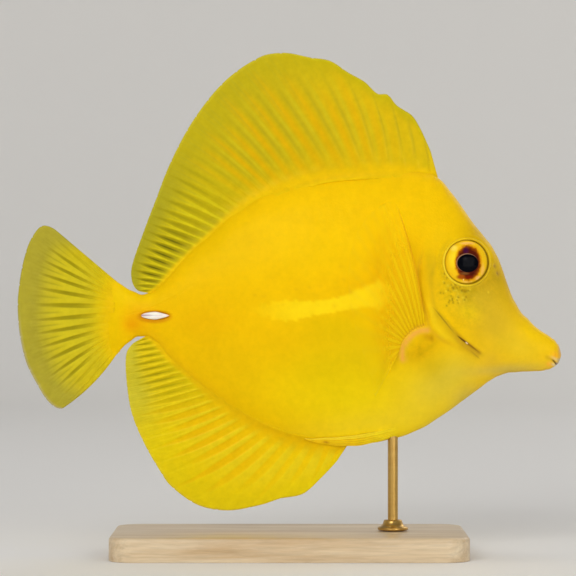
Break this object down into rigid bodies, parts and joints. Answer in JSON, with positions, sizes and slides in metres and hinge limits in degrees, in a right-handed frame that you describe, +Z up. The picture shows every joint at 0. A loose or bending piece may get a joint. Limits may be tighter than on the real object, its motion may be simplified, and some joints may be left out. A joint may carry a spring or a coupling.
{
  "type": "yellow tang",
  "caption": "Yellow surgeonfish as a still, life-size display model on one short rod above a flat base, swimming level with its fins spread.",
  "frame": {"origin": "on the underside of the base, under the middle of the fish's length and in the fish's middle plane", "axes": "+X towards the fish's snout, +Y to its left side, +Z up"},
  "size_m": [0.1599, 0.058, 0.1477],
  "materials": {
    "skin": "golden yellow fish skin with a soft wet sheen",
    "fin": "olive yellow fin skin, satin",
    "eye": "dark glossy eyeball with a yellow iris",
    "spine": "white bony spine, smooth",
    "base_wood": "pale ash wood, satin",
    "brass": "brushed brass"
  },
  "bodies": {
    "root": {"head": "skin", "trunk": "skin", "tail_stalk": "skin", "gill_cover_left": "skin", "gill_cover_right": "skin", "upper_jaw": "skin", "lower_jaw": "skin", "eye_left": "eye", "eye_right": "eye", "dorsal_fin": "fin", "anal_fin": "fin", "tail_fin": "fin", "pectoral_fin_left": "fin", "pectoral_fin_right": "fin", "pelvic_fin_left": "fin", "pelvic_fin_right": "fin", "tail_spine_left": "spine", "tail_spine_right": "spine", "stand_base": "base_wood", "stand_rod": "brass", "stand_ferrule": "brass"}
  },
  "joints": []
}
